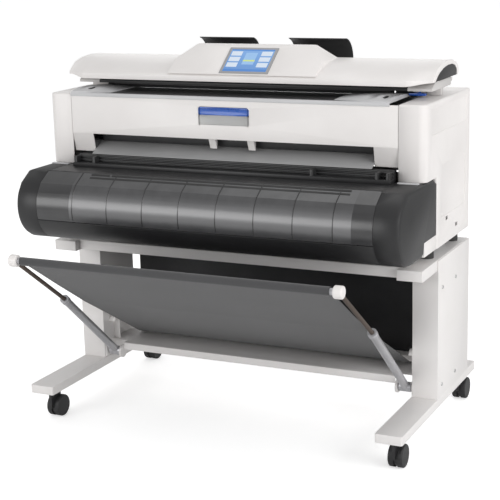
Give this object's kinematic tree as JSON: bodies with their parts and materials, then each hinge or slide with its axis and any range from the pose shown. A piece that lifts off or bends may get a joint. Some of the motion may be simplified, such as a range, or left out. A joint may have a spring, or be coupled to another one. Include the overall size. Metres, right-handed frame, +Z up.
{
  "type": "wide-format printer",
  "caption": "Wide-format roll printer with hinged upper unit, scanner on top, round roll deck, wheeled steel stand and a folding cloth catch basket.",
  "frame": {"origin": "on the floor under the middle of the machine's bounding box", "axes": "+X along the width, the front faces -Y, +Z up"},
  "size_m": [1.288, 0.9909, 1.2231],
  "materials": {
    "white_steel": "satin powder coat",
    "dark_steel": "matte powder coat",
    "bolt_steel": "zinc plated",
    "bare_steel": "galvanised",
    "black_plastic": "fine moulded grain",
    "wheel_plastic": "moulded tread",
    "grey_tube": "satin",
    "dark_rod": "satin",
    "white_plastic": "fine moulded grain",
    "grey_plastic": "fine moulded grain",
    "blue_plastic": "gloss",
    "smoky_plastic": "gloss",
    "cloth": "woven",
    "foot_rubber": "matte",
    "roller_rubber": "ground",
    "drum_coating": "gloss coating",
    "fuser_coating": "satin coating",
    "gear_plastic": "natural",
    "dark_aluminium": "anodised",
    "plain_aluminium": "mill",
    "paper": "plain",
    "clear_glass": "clear",
    "screen_glass": "backlit"
  },
  "bodies": {
    "machine": {"left_foot": "white_steel", "right_foot": "white_steel", "left_leg": "white_steel", "right_leg": "white_steel", "left_top_rail": "white_steel", "right_top_rail": "white_steel", "front_cross_beam": "white_steel", "rear_cross_bars": "white_steel", "lower_shelf": "white_steel", "rear_panel": "dark_steel", "stand_bolts": "bolt_steel", "arm_hooks": "white_steel", "catch_cloth_lower": "cloth", "printer_feet": "foot_rubber", "base_tray": "bare_steel", "side_plates": "bare_steel", "left_side_cover": "white_plastic", "right_side_cover": "white_plastic", "rear_cover": "white_plastic", "power_inlet": "black_plastic", "exit_plate": "bare_steel", "exit_guide": "black_plastic", "power_and_drive": "bare_steel", "left_deck_cap": "black_plastic", "right_deck_cap": "black_plastic", "deck_housing": "black_plastic"},
    "caster_front_left": {"caster_fork_front_left": "black_plastic"},
    "caster_front_right": {"caster_fork_front_right": "black_plastic"},
    "caster_back_left": {"caster_fork_back_left": "black_plastic"},
    "caster_back_right": {"caster_fork_back_right": "black_plastic"},
    "wheels_front_left": {"caster_wheels_front_left": "wheel_plastic"},
    "wheels_front_right": {"caster_wheels_front_right": "wheel_plastic"},
    "wheels_back_left": {"caster_wheels_back_left": "wheel_plastic"},
    "wheels_back_right": {"caster_wheels_back_right": "wheel_plastic"},
    "basket_arms": {"arm_tubes": "grey_tube"},
    "basket_front": {"arm_rods": "dark_rod", "basket_bar": "grey_tube", "bar_end_caps": "white_plastic", "catch_cloth_upper": "cloth"},
    "drum": {"print_drum": "drum_coating"},
    "idler": {"idler_gear": "gear_plastic"},
    "fuser": {"fuser_roller": "fuser_coating"},
    "deck_door": {"deck_door": "smoky_plastic"},
    "roll": {"media_roll": "paper", "roll_spindle": "dark_aluminium"},
    "upper_unit": {"upper_frame": "plain_aluminium", "front_cover": "white_plastic", "print_head": "dark_aluminium", "document_table": "dark_aluminium", "table_ends": "grey_plastic", "scanner_base": "grey_plastic", "scanner_glass": "clear_glass"},
    "latch": {"latch_handle": "blue_plastic"},
    "feed_roller": {"feed_roller": "roller_rubber"},
    "exit_roller": {"exit_roller": "roller_rubber"},
    "scanner_cover": {"scanner_cover": "white_plastic", "touch_screen": "screen_glass", "scanner_end_plates": "black_plastic"},
    "exit_guides": {"exit_guides": "black_plastic"},
    "release_lever": {"release_lever": "blue_plastic"}
  },
  "joints": [
    {"name": "caster_front_left_swivel", "type": "hinge", "parent": "machine", "child": "caster_front_left", "pos_m": [-0.5975, -0.2175, 0.1], "axis": [0, 0, 1], "continuous": true},
    {"name": "caster_front_right_swivel", "type": "hinge", "parent": "machine", "child": "caster_front_right", "pos_m": [0.5975, -0.2175, 0.1], "axis": [0, 0, 1], "continuous": true},
    {"name": "caster_back_left_swivel", "type": "hinge", "parent": "machine", "child": "caster_back_left", "pos_m": [-0.5975, 0.4295, 0.1], "axis": [0, 0, 1], "continuous": true},
    {"name": "caster_back_right_swivel", "type": "hinge", "parent": "machine", "child": "caster_back_right", "pos_m": [0.5975, 0.4295, 0.1], "axis": [0, 0, 1], "continuous": true},
    {"name": "wheels_front_left_spin", "type": "hinge", "parent": "caster_front_left", "child": "wheels_front_left", "pos_m": [-0.5975, -0.1875, 0.036], "axis": [1, 0, 0], "continuous": true},
    {"name": "wheels_front_right_spin", "type": "hinge", "parent": "caster_front_right", "child": "wheels_front_right", "pos_m": [0.5975, -0.1875, 0.036], "axis": [1, 0, 0], "continuous": true},
    {"name": "wheels_back_left_spin", "type": "hinge", "parent": "caster_back_left", "child": "wheels_back_left", "pos_m": [-0.5975, 0.4595, 0.036], "axis": [1, 0, 0], "continuous": true},
    {"name": "wheels_back_right_spin", "type": "hinge", "parent": "caster_back_right", "child": "wheels_back_right", "pos_m": [0.5975, 0.4595, 0.036], "axis": [1, 0, 0], "continuous": true},
    {"name": "basket_tilt", "type": "hinge", "parent": "machine", "child": "basket_arms", "pos_m": [0, 0.0845, 0.152], "axis": [-1, 0, 0], "range_deg": [-40, 12], "deforming": ["catch_cloth_lower"]},
    {"name": "basket_reach", "type": "slide", "parent": "basket_arms", "child": "basket_front", "axis": [0, -0.7547, 0.6561], "range_m": [0, 0.1], "deforming": ["catch_cloth_upper"]},
    {"name": "drum_spin", "type": "hinge", "parent": "machine", "child": "drum", "pos_m": [0, 0.0895, 0.9], "axis": [1, 0, 0], "continuous": true},
    {"name": "idler_spin", "type": "hinge", "parent": "machine", "child": "idler", "pos_m": [0.529, 0.16845, 0.91579], "axis": [1, 0, 0], "continuous": true},
    {"name": "fuser_spin", "type": "hinge", "parent": "machine", "child": "fuser", "pos_m": [0, 0.2395, 0.93], "axis": [1, 0, 0], "continuous": true},
    {"name": "deck_door_hinge", "type": "hinge", "parent": "machine", "child": "deck_door", "pos_m": [0, -0.2205, 0.828], "axis": [-1, 0, 0], "range_deg": [0, 80]},
    {"name": "roll_spin", "type": "hinge", "parent": "machine", "child": "roll", "pos_m": [0, -0.1805, 0.727], "axis": [1, 0, 0], "continuous": true},
    {"name": "upper_unit_hinge", "type": "hinge", "parent": "machine", "child": "upper_unit", "pos_m": [0, 0.3635, 1.035], "axis": [-1, 0, 0], "range_deg": [0, 25]},
    {"name": "latch_pull", "type": "hinge", "parent": "upper_unit", "child": "latch", "pos_m": [-0.008, -0.0655, 1.031], "axis": [-1, 0, 0], "range_deg": [0, 20], "stiffness_Nm_per_rad": 0.4, "springref_deg": -5.73},
    {"name": "feed_roller_spin", "type": "hinge", "parent": "upper_unit", "child": "feed_roller", "pos_m": [0, 0.1345, 1.1], "axis": [1, 0, 0], "continuous": true},
    {"name": "exit_roller_spin", "type": "hinge", "parent": "upper_unit", "child": "exit_roller", "pos_m": [0, 0.2495, 1.1], "axis": [1, 0, 0], "continuous": true},
    {"name": "scanner_cover_hinge", "type": "hinge", "parent": "upper_unit", "child": "scanner_cover", "pos_m": [0, 0.2775, 1.1], "axis": [-1, 0, 0], "range_deg": [0, 50]},
    {"name": "exit_guides_fold", "type": "hinge", "parent": "scanner_cover", "child": "exit_guides", "pos_m": [0, 0.2985, 1.127], "axis": [-1, 0, 0], "range_deg": [0, 60]},
    {"name": "release_lever_turn", "type": "hinge", "parent": "upper_unit", "child": "release_lever", "pos_m": [0.546, 0.1475, 1.08], "axis": [0, 0, 1], "range_deg": [0, 20]}
  ],
  "couplings": [
    {"joint": "idler_spin", "follows": "drum_spin", "ratio": -1.5},
    {"joint": "fuser_spin", "follows": "drum_spin", "ratio": 1.2},
    {"joint": "exit_roller_spin", "follows": "feed_roller_spin", "ratio": 1}
  ]
}
